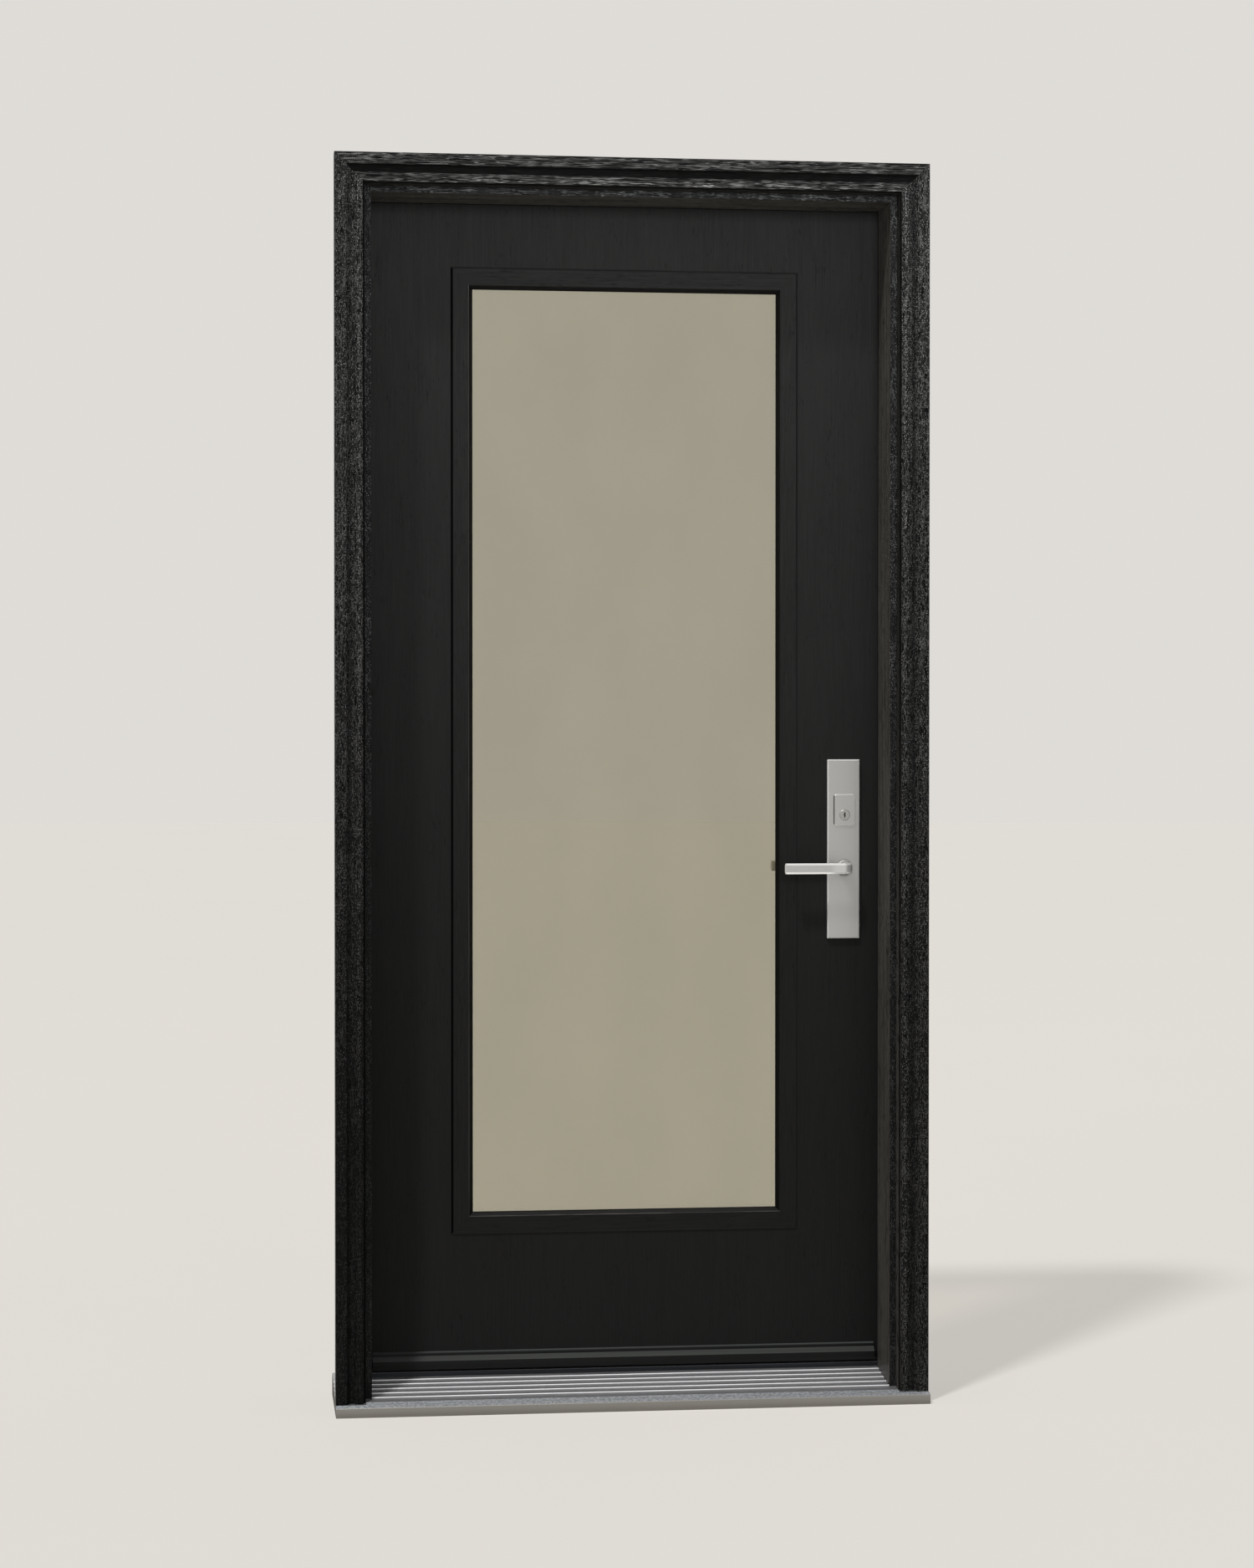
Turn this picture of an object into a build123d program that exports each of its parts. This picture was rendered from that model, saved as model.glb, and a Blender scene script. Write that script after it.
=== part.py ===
from build123d import *
import os
import math

# Full-light entry door in its frame, 36 x 80 inch size, opening inwards.
# +X to the right seen from outside, +Y into the building, +Z up, millimetres.
# Origin: middle of the doorway, on the outer edge plane of the jambs, at the
# underside of the sill.

os.makedirs("parts", exist_ok=True)

# ---- driving dimensions -------------------------------------------------
OPEN_HALF = 445.7        # half the clear width between the stops
JAMB_T = 31.8            # jamb thickness at the stop
RABBET = 13.3            # rabbet depth
JAMB_D = 158.8           # jamb depth, front to back
STOP_Y = 104.5           # back of the stop, where the rabbet begins
HEAD_Z = 2062.0          # underside of the head jamb
BM_W = 50.8              # casing width
BM_T = 32.0              # casing thickness
REVEAL = 11.5            # jamb edge left showing inside the side casings
BM_HEAD_Z = 2072.7       # lower edge of the head casing

SLAB_HALF = 454.0        # half width of the door leaf
SLAB_Z0, SLAB_Z1 = 63.0, 2070.0
SLAB_Y0, SLAB_Y1 = 114.3, 158.8
SKIN_T = 2.0
LOCK_BEVEL = 2.3         # lock edge set back at the outer face

CUT_X = 287.0            # half width of the light's cut-out
CUT_Z0, CUT_Z1 = 298.5, 1937.5
LITE_X = 303.3           # half width of the raised light frame
LITE_Z0, LITE_Z1 = 282.2, 1954.0
LITE_FLAT = 30.5         # from the frame's outer edge to the inner bevel
LITE_W = 37.1            # full width of the frame's face
LITE_W_IN = 32.0         # the inner frame's lip stands back, out of sight through the glass
LITE_RISE = 4.0
GLASS_X = 280.0
GLASS_Z0, GLASS_Z1 = 305.5, 1930.5
GLASS_Y0 = 119.3         # outer face of the outer pane
PANE_T = 3.2
UNIT_T = 25.4
SPACER_W = 8.5           # from the unit's edge to the spacer's sight line

SILL_Y0 = -47.5
SILL_H = 16.5            # height of the sill's nose
SLOPE = 0.13
SLOPE_Y1 = 113.0
DECK_T = 1.5
CAP_TOP = 44.5

PIN_X, PIN_Y = -456.5, 165.3
PIN_R, KNUCKLE_R, BORE_R = 3.0, 5.6, 3.05
LEAF_H, LEAF_T = 101.6, 2.5
HINGE_Z = (1870.0, 1045.0, 255.0)

PLATE_X0, PLATE_X1 = 356.0, 413.0
PLATE_Z0, PLATE_Z1 = 790.5, 1103.8
PLATE_T = 9.0
PLATE_BEVEL = 1.7
LEVER_X, LEVER_Z = 385.6, 914.4
LEVER_TIP = 273.4
LEVER_H = 18.4
LEVER_FRONT = 57.5
LEVER_THICK = 9.0
LEVER_BEVEL = 3.2           # down the front face
LEVER_BEVEL_IN = 1.2        # back from the front face
HOUSING_T = 3.5
NECK_R, COLLAR_R = 10.0, 13.0
KEY_X, KEY_Z, KEY_R = 386.0, 1006.9, 9.3
MID_Y = (SLAB_Y0 + SLAB_Y1) / 2

OUT_X = OPEN_HALF + JAMB_T          # 477.5
RAB_X = OPEN_HALF + RABBET          # 459.0
HEAD_TOP = HEAD_Z + JAMB_T          # 2093.8
HEAD_RAB = HEAD_Z + RABBET          # 2075.3
BM_IN = OPEN_HALF + REVEAL          # 457.2
BM_OUT = BM_IN + BM_W               # 508.0
BM_TOP = BM_HEAD_Z + BM_W           # 2123.5


def box(x0, x1, y0, y1, z0, z1):
    return Pos((x0 + x1) / 2, (y0 + y1) / 2, (z0 + z1) / 2) * Box(
        abs(x1 - x0), abs(y1 - y0), abs(z1 - z0))


def prism_x(points, x0, x1):
    # closed polygon of (y, z) points, extruded along X
    face = Face(Wire.make_polygon([Vector(x0, y, z) for y, z in points], close=True))
    return Solid.extrude(face, Vector(x1 - x0, 0, 0))


def prism_y(points, y0, y1):
    # closed polygon of (x, z) points, extruded along Y
    face = Face(Wire.make_polygon([Vector(x, y0, z) for x, z in points], close=True))
    return Solid.extrude(face, Vector(0, y1 - y0, 0))


def prism_z(points, z0, z1):
    # closed polygon of (x, y) points, extruded along Z
    face = Face(Wire.make_polygon([Vector(x, y, z0) for x, y in points], close=True))
    return Solid.extrude(face, Vector(0, 0, z1 - z0))


def cyl_y(x, z, r, y0, y1):
    return Solid.make_cylinder(r, y1 - y0, Plane(origin=(x, y0, z), z_dir=(0, 1, 0)))


def cyl_z(x, y, r, z0, z1):
    return Solid.make_cylinder(r, z1 - z0, Plane(origin=(x, y, z0), z_dir=(0, 0, 1)))


def save(name, *shapes):
    solids = []
    for s in shapes:
        solids += list(s.solids())
    part = solids[0] if len(solids) == 1 else Compound(children=[Solid(s.wrapped) for s in solids])
    part.label = name
    export_step(part, f"parts/{name}.step")


def deck_z(y):
    # height of the sill's upper face
    return SILL_H + SLOPE * (y - SILL_Y0) if y < SLOPE_Y1 else SILL_H + SLOPE * (SLOPE_Y1 - SILL_Y0)


DECK_TOP = deck_z(SLOPE_Y1)

# what the jambs and casings are cut away by: everything under the sill's top
under_sill = prism_x([(-120, -20), (-120, deck_z(-120)), (SLOPE_Y1, DECK_TOP),
                      (260, DECK_TOP), (260, -20)], -600, 600)

# ---- jambs --------------------------------------------------------------
jamb = prism_z([(-OUT_X, 0), (-OPEN_HALF, 0), (-OPEN_HALF, STOP_Y), (-RAB_X, STOP_Y),
                (-RAB_X, JAMB_D), (-OUT_X, JAMB_D)], 0, HEAD_TOP) - under_sill
jamb_l = jamb
for hz in HINGE_Z:
    jamb_l = jamb_l - box(-RAB_X - LEAF_T, -RAB_X + 1, JAMB_D - 36, JAMB_D + 5,
                          hz - LEAF_H / 2, hz + LEAF_H / 2)
save("jamb_hinge_side", jamb_l)

STRIKES = ((LEVER_Z, 70.0, 30.0), (KEY_Z, 46.0, 26.0), (1560.0, 70.0, 30.0), (420.0, 70.0, 30.0))
jamb_r = jamb.mirror(Plane.YZ)
plates = []
for sz, sh, bh in STRIKES:
    jamb_r = jamb_r - box(RAB_X - 1, RAB_X + 1.6, 124, 150, sz - sh / 2, sz + sh / 2)
    jamb_r = jamb_r - box(RAB_X, RAB_X + 14, 129, 144, sz - bh / 2, sz + bh / 2)
    plates.append(box(RAB_X, RAB_X + 1.6, 124, 150, sz - sh / 2, sz + sh / 2)
                  - box(RAB_X - 1, RAB_X + 2, 129, 144, sz - bh / 2, sz + bh / 2))
save("jamb_latch_side", jamb_r)
save("strike_plates", *plates)

head = prism_x([(0, HEAD_Z), (STOP_Y, HEAD_Z), (STOP_Y, HEAD_RAB), (JAMB_D, HEAD_RAB),
                (JAMB_D, HEAD_TOP), (0, HEAD_TOP)], -OPEN_HALF, OPEN_HALF)
head = head + box(-RAB_X, -OPEN_HALF, STOP_Y, JAMB_D, HEAD_RAB, HEAD_TOP) \
    + box(OPEN_HALF, RAB_X, STOP_Y, JAMB_D, HEAD_RAB, HEAD_TOP)
save("head_jamb", head)

# ---- casing: flat outer band, cove, bead and quirk -----------------------
# s runs outwards from the inner edge, t forwards from the jamb's edge plane


def casing_face(place):
    def p(s, t):
        return place(s, t)
    edges = [
        Edge.make_line(p(0, 0), p(0, 22.0)),
        Edge.make_line(p(0, 22.0), p(0.8, 22.0)),
        Edge.make_line(p(0.8, 22.0), p(0.8, 18.0)),
        Edge.make_line(p(0.8, 18.0), p(2.6, 18.0)),
        Edge.make_line(p(2.6, 18.0), p(2.6, 24.6)),
        Edge.make_three_point_arc(p(2.6, 24.6), p(9.4, 28.4), p(18.6, 25.2)),
        Edge.make_line(p(18.6, 25.2), p(18.6, 23.8)),
        Edge.make_line(p(18.6, 23.8), p(19.8, 23.8)),
        Edge.make_three_point_arc(p(19.8, 23.8), p(26.8, 25.5), p(30.6, 30.0)),
        Edge.make_line(p(30.6, 30.0), p(31.8, 30.0)),
        Edge.make_line(p(31.8, 30.0), p(31.8, BM_T)),
        Edge.make_line(p(31.8, BM_T), p(BM_W - 1.6, BM_T)),
        Edge.make_three_point_arc(p(BM_W - 1.6, BM_T), p(BM_W - 0.47, BM_T - 0.47), p(BM_W, BM_T - 1.6)),
        Edge.make_line(p(BM_W, BM_T - 1.6), p(BM_W, 0)),
        Edge.make_line(p(BM_W, 0), p(0, 0)),
    ]
    return Face(Wire(edges))


side = Solid.extrude(casing_face(lambda s, t: Vector(-BM_IN - s, -t, 0)), Vector(0, 0, BM_TOP))
far = 200.0
above_mitre = prism_y([(-BM_IN + far, BM_HEAD_Z - far), (-BM_OUT - far, BM_TOP + far),
                       (-BM_IN + far, BM_TOP + far)], -100, 100)
below_mitre = prism_y([(-BM_IN + far, BM_HEAD_Z - far), (-BM_OUT - far, BM_TOP + far),
                       (-BM_OUT - far, BM_HEAD_Z - far)], -100, 100)
side = side - above_mitre - under_sill
save("brickmould_left", side)
save("brickmould_right", side.mirror(Plane.YZ))
head_bm = Solid.extrude(casing_face(lambda s, t: Vector(-BM_OUT, -t, BM_HEAD_Z + s)), Vector(2 * BM_OUT, 0, 0))
head_bm = head_bm - below_mitre - below_mitre.mirror(Plane.YZ)
save("brickmould_head", head_bm)

# ---- sill ----------------------------------------------------------------
save("sill_substrate", prism_x([
    (SILL_Y0 + DECK_T, 0), (SILL_Y0 + DECK_T, deck_z(SILL_Y0 + DECK_T) - DECK_T),
    (SLOPE_Y1, DECK_TOP - DECK_T), (JAMB_D, DECK_TOP - DECK_T), (JAMB_D, 0)], -BM_OUT, BM_OUT))
deck = prism_x([
    (SILL_Y0, 0), (SILL_Y0, SILL_H - 1.2), (SILL_Y0 + 1.0, deck_z(SILL_Y0 + 1.0)),
    (SLOPE_Y1, DECK_TOP), (JAMB_D, DECK_TOP), (JAMB_D, DECK_TOP - DECK_T),
    (SLOPE_Y1, DECK_TOP - DECK_T), (SILL_Y0 + DECK_T, deck_z(SILL_Y0 + DECK_T) - DECK_T),
    (SILL_Y0 + DECK_T, 0)], -BM_OUT, BM_OUT)


def ridge(y0, w, h, x0, x1):
    # round-topped rib standing on the deck
    a, b, m = y0, y0 + w, y0 + w / 2
    v = lambda y, up: Vector(x0, y, deck_z(y) + up)
    edges = [
        Edge.make_line(v(a, -0.7), v(a, 0.15)),
        Edge.make_three_point_arc(v(a, 0.15), v(m, h), v(b, 0.15)),
        Edge.make_line(v(b, 0.15), v(b, -0.7)),
        Edge.make_line(v(b, -0.7), v(a, -0.7)),
    ]
    return Solid.extrude(Face(Wire(edges)), Vector(x1 - x0, 0, 0))


for i in range(5):
    deck = deck + ridge(0.3 + 22.6 * i, 3.4, 2.0, -OPEN_HALF + 0.3, OPEN_HALF - 0.3)
for i in range(4):
    deck = deck + ridge(-46.0 + 3.4 * i, 2.2, 1.0, -BM_OUT, BM_OUT)
for i in range(4):
    deck = deck + ridge(-31.6 + 3.4 * i, 2.2, 1.0, -BM_IN + 0.3, BM_IN - 0.3)
save("sill_deck", deck)
save("threshold_cap", prism_x([
    (SLOPE_Y1, DECK_TOP), (SLOPE_Y1, CAP_TOP - 1.2), (SLOPE_Y1 + 1.2, CAP_TOP),
    (JAMB_D - 1.2, CAP_TOP), (JAMB_D, CAP_TOP - 1.2), (JAMB_D, DECK_TOP)], -RAB_X, RAB_X))

# ---- seals in the rabbet ---------------------------------------------------
SEAL_Y1 = 109.2
seal = [(-RAB_X + 0.5, STOP_Y), (-OPEN_HALF - 1.0, STOP_Y), (-OPEN_HALF - 1.0, STOP_Y + 3.2),
        (-OPEN_HALF - 2.6, SEAL_Y1), (-RAB_X + 2.0, SEAL_Y1), (-RAB_X + 0.5, STOP_Y + 3.2)]
seal_l = prism_z(seal, DECK_TOP + 0.5, HEAD_Z + 1.0)
save("weatherstrip_left", seal_l)
save("weatherstrip_right", seal_l.mirror(Plane.YZ))
save("weatherstrip_head", prism_x([
    (STOP_Y, HEAD_Z + 1.0), (STOP_Y, HEAD_RAB - 0.5), (STOP_Y + 3.2, HEAD_RAB - 0.5),
    (SEAL_Y1, HEAD_RAB - 2.0), (SEAL_Y1, HEAD_Z + 2.6), (STOP_Y + 3.2, HEAD_Z + 1.0)],
    -RAB_X + 0.5, RAB_X - 0.5))

# ---- hinges: five knuckles, three on the frame leaf, two on the door leaf ---
KN = LEAF_H / 5
hinge_names = ("top", "middle", "bottom")
for name, hz in zip(hinge_names, HINGE_Z):
    z0 = hz - LEAF_H / 2
    f_leaf = box(-RAB_X - LEAF_T, -RAB_X, JAMB_D - 36, JAMB_D, z0, z0 + LEAF_H)
    d_leaf = box(-SLAB_HALF, -SLAB_HALF + LEAF_T, SLAB_Y1 - 36, SLAB_Y1, z0, z0 + LEAF_H)
    f_body, d_body = f_leaf, d_leaf
    for k in range(5):
        a, b = z0 + k * KN + 0.25, z0 + (k + 1) * KN - 0.25
        barrel = cyl_z(PIN_X, PIN_Y, KNUCKLE_R, a, b)
        if k % 2 == 0:
            f_body = f_body + box(-RAB_X - LEAF_T, -RAB_X, JAMB_D - 2, PIN_Y, a, b) + barrel
        else:
            d_body = d_body + box(-SLAB_HALF, -SLAB_HALF + LEAF_T, SLAB_Y1 - 2, PIN_Y, a, b) + barrel
            d_body = d_body - cyl_z(PIN_X, PIN_Y, BORE_R, a - 1, b + 1)
    f_body = f_body + cyl_z(PIN_X, PIN_Y, PIN_R, z0 + 1, z0 + LEAF_H + 1.5) \
        + cyl_z(PIN_X, PIN_Y, KNUCKLE_R - 0.8, z0 + LEAF_H - 0.25, z0 + LEAF_H + 2.2) \
        + cyl_z(PIN_X, PIN_Y, KNUCKLE_R - 0.8, z0 - 1.8, z0 + 0.25)
    save(f"hinge_{name}_frame_leaf", f_body)
    save(f"hinge_{name}_door_leaf", d_body)

# ---- door leaf: core pieces and skins --------------------------------------
CORE_Y0, CORE_Y1 = SLAB_Y0 + SKIN_T, SLAB_Y1 - SKIN_T


def edge_x(y):
    # the bevelled lock edge
    return SLAB_HALF - LOCK_BEVEL * (SLAB_Y1 - y) / (SLAB_Y1 - SLAB_Y0)


leaf_cuts = []
for hz in HINGE_Z:
    leaf_cuts.append(box(-SLAB_HALF - 1, -SLAB_HALF + LEAF_T, SLAB_Y1 - 36, SLAB_Y1 + 1,
                         hz - LEAF_H / 2, hz + LEAF_H / 2))
stile_h = box(-SLAB_HALF, -CUT_X, CORE_Y0, CORE_Y1, SLAB_Z0, SLAB_Z1)
for c in leaf_cuts:
    stile_h = stile_h - c
save("stile_hinge", stile_h)

# frame of the lock edge: n points out of it, w runs across it towards the outer face
ang = math.atan2(LOCK_BEVEL, SLAB_Y1 - SLAB_Y0)
nx, ny = math.cos(ang), -math.sin(ang)
wx, wy = -math.sin(ang), -math.cos(ang)
FP_Y = 136.5
FP_X = edge_x(FP_Y)


def edge_box(depth0, depth1, w, z0, z1):
    pts = []
    for d, q in ((depth0, -w / 2), (depth1, -w / 2), (depth1, w / 2), (depth0, w / 2)):
        pts.append((FP_X - nx * d + wx * q, FP_Y - ny * d + wy * q))
    return prism_z(pts, z0, z1)


FP_Z0, FP_Z1 = 360.0, 1700.0
stile_l = prism_z([(CUT_X, CORE_Y0), (edge_x(CORE_Y0), CORE_Y0), (edge_x(CORE_Y1), CORE_Y1),
                   (CUT_X, CORE_Y1)], SLAB_Z0, SLAB_Z1)
stile_l = stile_l - edge_box(-1, 2.6, 20.4, FP_Z0 - 0.2, FP_Z1 + 0.2)
faceplate = edge_box(0, 2.4, 20.0, FP_Z0, FP_Z1)
bolts = []
for bz, bh in ((LEVER_Z, 24.0), (KEY_Z, 20.0), (1560.0, 24.0), (420.0, 24.0)):
    stile_l = stile_l - edge_box(-1, 30.0, 13.0, bz - bh / 2 - 0.3, bz + bh / 2 + 0.3)
    faceplate = faceplate - edge_box(-1, 5, 13.0, bz - bh / 2 - 0.3, bz + bh / 2 + 0.3)
    bolts.append(edge_box(0.3, 29.0, 12.4, bz - bh / 2, bz + bh / 2))
# through holes for the lever's spindle and the cylinder
lever_hole = cyl_y(LEVER_X, LEVER_Z, 12.0, SLAB_Y0 - 20, SLAB_Y1 + 20)
lock_hole = cyl_y(KEY_X, KEY_Z, KEY_R + 0.1, SLAB_Y0 - 30, SLAB_Y1 + 30)
stile_l = stile_l - lever_hole - lock_hole
save("stile_lock", stile_l)
save("lock_faceplate", faceplate)
save("lock_bolts", *bolts)
save("rail_top", box(-CUT_X, CUT_X, CORE_Y0, CORE_Y1, CUT_Z1, SLAB_Z1))
save("rail_bottom", box(-CUT_X, CUT_X, CORE_Y0, CORE_Y1, SLAB_Z0, CUT_Z0))

cutout = box(-CUT_X, CUT_X, SLAB_Y0 - 5, SLAB_Y1 + 5, CUT_Z0, CUT_Z1)
skin_o = prism_z([(-SLAB_HALF, SLAB_Y0), (edge_x(SLAB_Y0), SLAB_Y0), (edge_x(CORE_Y0), CORE_Y0),
                  (-SLAB_HALF, CORE_Y0)], SLAB_Z0, SLAB_Z1) - cutout - lever_hole - lock_hole
skin_i = prism_z([(-SLAB_HALF, CORE_Y1), (edge_x(CORE_Y1), CORE_Y1), (edge_x(SLAB_Y1), SLAB_Y1),
                  (-SLAB_HALF, SLAB_Y1)], SLAB_Z0, SLAB_Z1) - cutout - lever_hole - lock_hole
for c in leaf_cuts:
    skin_i = skin_i - c
save("skin_outer", skin_o)
save("skin_inner", skin_i)


# ---- light frames and sealed glass unit --------------------------------------
def frustum(u0, y0, u1, y1):
    # solid between two rectangles, inset u0 at y0 and u1 at y1
    def rect(u, y):
        return Wire.make_polygon([
            Vector(-LITE_X + u, y, LITE_Z0 + u), Vector(LITE_X - u, y, LITE_Z0 + u),
            Vector(LITE_X - u, y, LITE_Z1 - u), Vector(-LITE_X + u, y, LITE_Z1 - u)], close=True)
    return Solid.make_loft([rect(u0, y0), rect(u1, y1)], True)


TONGUE_U0, TONGUE_U1 = LITE_X - CUT_X + 0.5, LITE_X - GLASS_X - 1.0   # 16.8, 22.3
lip_y = GLASS_Y0 - 0.6
face_y = SLAB_Y0 - LITE_RISE
outer_f = frustum(0, SLAB_Y0, 0, SLAB_Y0 - 1.2) + frustum(0, SLAB_Y0 - 1.2, 2.8, face_y)
outer_f = outer_f + frustum(TONGUE_U0, SLAB_Y0, TONGUE_U0, 131.5)
outer_f = outer_f - frustum(TONGUE_U1, GLASS_Y0, TONGUE_U1, 140)
outer_f = outer_f - frustum(LITE_FLAT, face_y, LITE_W, lip_y) - frustum(LITE_W, lip_y, LITE_W, GLASS_Y0 + 1) \
    - frustum(LITE_FLAT, face_y - 2, LITE_FLAT, face_y)
save("lite_frame_outer", outer_f)

gy1 = GLASS_Y0 + UNIT_T
face_yi = SLAB_Y1 + LITE_RISE
inner_f = frustum(0, SLAB_Y1, 0, SLAB_Y1 + 1.2) + frustum(0, SLAB_Y1 + 1.2, 2.8, face_yi)
inner_f = inner_f + frustum(TONGUE_U0, 131.5, TONGUE_U0, SLAB_Y1)
inner_f = inner_f - frustum(TONGUE_U1, 131, TONGUE_U1, gy1)
inner_f = inner_f - frustum(LITE_W_IN, gy1 - 1, LITE_W_IN, gy1 + 0.6) \
    - frustum(LITE_W_IN, gy1 + 0.6, LITE_FLAT - 2, face_yi) \
    - frustum(LITE_FLAT - 2, face_yi, LITE_FLAT - 2, face_yi + 2)
save("lite_frame_inner", inner_f)

save("glass_outer", box(-GLASS_X, GLASS_X, GLASS_Y0, GLASS_Y0 + PANE_T, GLASS_Z0, GLASS_Z1))
save("glass_inner", box(-GLASS_X, GLASS_X, gy1 - PANE_T, gy1, GLASS_Z0, GLASS_Z1))
save("glass_spacer",
     box(-GLASS_X + 0.5, GLASS_X - 0.5, GLASS_Y0 + PANE_T, gy1 - PANE_T, GLASS_Z0 + 0.5, GLASS_Z1 - 0.5)
     - box(-GLASS_X + SPACER_W, GLASS_X - SPACER_W, GLASS_Y0, gy1, GLASS_Z0 + SPACER_W, GLASS_Z1 - SPACER_W))

# ---- foot of the door -----------------------------------------------------------
DRIP_X = 440.0
save("drip_rail", prism_x([
    (SLAB_Y0, 50.0), (102.6, 50.0), (102.0, 50.8), (102.0, 64.6), (104.2, 67.0), (109.0, 71.7), (110.4, 72.2),
    (110.4, 76.6), (111.0, 77.9), (SLAB_Y0, 79.5)], -DRIP_X, DRIP_X))
sweep = box(-452, 449.5, 117, 156, 58, SLAB_Z0)
for fy in (119.5, 135.0, 150.5):
    sweep = sweep + box(-452, 449.5, fy, fy + 3.2, 50, 58)
save("bottom_sweep", sweep)

# ---- lock plates, cylinder and thumbturn ------------------------------------------
PCX, PCZ = (PLATE_X0 + PLATE_X1) / 2, (PLATE_Z0 + PLATE_Z1) / 2
plate = box(PLATE_X0, PLATE_X1, SLAB_Y0 - PLATE_T, SLAB_Y0, PLATE_Z0, PLATE_Z1)
plate = chamfer(plate.faces().sort_by(Axis.Y)[0].edges(), PLATE_BEVEL)
collar = cyl_y(LEVER_X, LEVER_Z, COLLAR_R, SLAB_Y0 - PLATE_T - 6.5, SLAB_Y0 - PLATE_T + 1)
collar = fillet(collar.faces().sort_by(Axis.Y)[0].edges(), 1.2)
plate = plate + collar
bearing = cyl_y(LEVER_X, LEVER_Z, NECK_R + 0.05, SLAB_Y0 - 40, SLAB_Y0 + 1)
plate_o = plate - bearing - lock_hole
save("escutcheon_outer", plate_o)
mirror_y = Plane(origin=(0, MID_Y, 0), x_dir=(1, 0, 0), z_dir=(0, 1, 0))
turn_hole = cyl_y(KEY_X, KEY_Z, 5.2, SLAB_Y1 - 1, SLAB_Y1 + 40)
plate_i = (plate - bearing).mirror(mirror_y) - turn_hole
save("escutcheon_inner", plate_i)

housing = box(367.0, 404.4, SLAB_Y0 - PLATE_T - HOUSING_T, SLAB_Y0 - PLATE_T, 988.0, 1043.0)
housing = fillet(housing.edges().filter_by(Axis.Y), 5.0)
housing = chamfer(housing.faces().sort_by(Axis.Y)[0].edges(), 1.0) - lock_hole
save("cylinder_housing", housing)
key_y = SLAB_Y0 - PLATE_T - HOUSING_T - 1.0
key = cyl_y(KEY_X, KEY_Z, KEY_R, key_y, SLAB_Y1 - 12)
key = chamfer(key.faces().sort_by(Axis.Y)[0].edges(), 0.7)
key = key - box(KEY_X - 1.1, KEY_X + 1.1, SLAB_Y0 - 60, SLAB_Y0 + 2, KEY_Z - 4.6, KEY_Z + 4.6)
key = key - box(KEY_X - 2.1, KEY_X + 1.3, SLAB_Y0 - 60, SLAB_Y0 - 4, KEY_Z - 1.4, KEY_Z + 1.8)
save("key_cylinder", key)
turn = cyl_y(KEY_X, KEY_Z, 5.1, SLAB_Y1 - 8, SLAB_Y1 + PLATE_T) \
    + cyl_y(KEY_X, KEY_Z, 14.0, SLAB_Y1 + PLATE_T, SLAB_Y1 + PLATE_T + 4) \
    + cyl_y(KEY_X, KEY_Z, 6.0, SLAB_Y1 + PLATE_T + 3, SLAB_Y1 + PLATE_T + 12)
wing = box(KEY_X - 3.2, KEY_X + 3.2, SLAB_Y1 + PLATE_T + 8, SLAB_Y1 + PLATE_T + 26, KEY_Z - 19, KEY_Z + 19)
wing = fillet(wing.edges().filter_by(Axis.X), 6.0)
save("thumbturn", turn + wing)

# ---- lever handles on one spindle -----------------------------------------------
x_out = 393.6                      # outer side of the lever's return
lf, lb = LEVER_FRONT, LEVER_FRONT + LEVER_THICK
r_o, r_i = 17.0, 6.0
cx = x_out - r_o                   # outer bend's centre
x_in = 2 * LEVER_X - x_out         # inner side of the return
z0 = LEVER_Z - LEVER_H / 2
q = math.sqrt(0.5)
ret = 91.0                         # the return ends where the round neck takes over
edges = [
    Edge.make_line(Vector(LEVER_TIP, lf, z0), Vector(cx, lf, z0)),
    Edge.make_three_point_arc(Vector(cx, lf, z0), Vector(cx + r_o * q, lf + r_o - r_o * q, z0),
                              Vector(x_out, lf + r_o, z0)),
    Edge.make_line(Vector(x_out, lf + r_o, z0), Vector(x_out, ret, z0)),
    Edge.make_line(Vector(x_out, ret, z0), Vector(x_in, ret, z0)),
    Edge.make_line(Vector(x_in, ret, z0), Vector(x_in, lb + r_i, z0)),
    Edge.make_three_point_arc(Vector(x_in, lb + r_i, z0),
                              Vector(x_in - r_i + r_i * q, lb + r_i - r_i * q, z0),
                              Vector(x_in - r_i, lb, z0)),
    Edge.make_line(Vector(x_in - r_i, lb, z0), Vector(LEVER_TIP, lb, z0)),
    Edge.make_line(Vector(LEVER_TIP, lb, z0), Vector(LEVER_TIP, lf, z0)),
]
lever = Solid.extrude(Face(Wire(edges)), Vector(0, 0, LEVER_H))
# the bevels run far down the front but only a little way back, so the ends stay square seen from the front
lever = chamfer(lever.edges().filter_by(Axis.Z).filter_by(lambda e: e.center().X < LEVER_TIP + 0.01), 1.6)
for end in (-1, 0):
    flat = lever.faces().filter_by(Axis.Z).sort_by(Axis.Z)[end]
    lever = chamfer(flat.edges(), LEVER_BEVEL_IN, LEVER_BEVEL, reference=flat)
lever = lever + cyl_y(LEVER_X, LEVER_Z, NECK_R, ret - LEVER_BEVEL - 1.0, SLAB_Y0 - 2.0)
sq = 4.0
spindle_hole = box(LEVER_X - sq, LEVER_X + sq, SLAB_Y0 - 20, SLAB_Y1 + 20, LEVER_Z - sq, LEVER_Z + sq)
lever_o = lever - spindle_hole
save("lever_outer", lever_o)
save("lever_inner", lever_o.mirror(mirror_y))
save("spindle", box(LEVER_X - sq, LEVER_X + sq, SLAB_Y0 - 20, SLAB_Y1 + 20, LEVER_Z - sq, LEVER_Z + sq))
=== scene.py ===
import math
import bpy
import bmesh
from mathutils import Vector, Matrix


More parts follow.
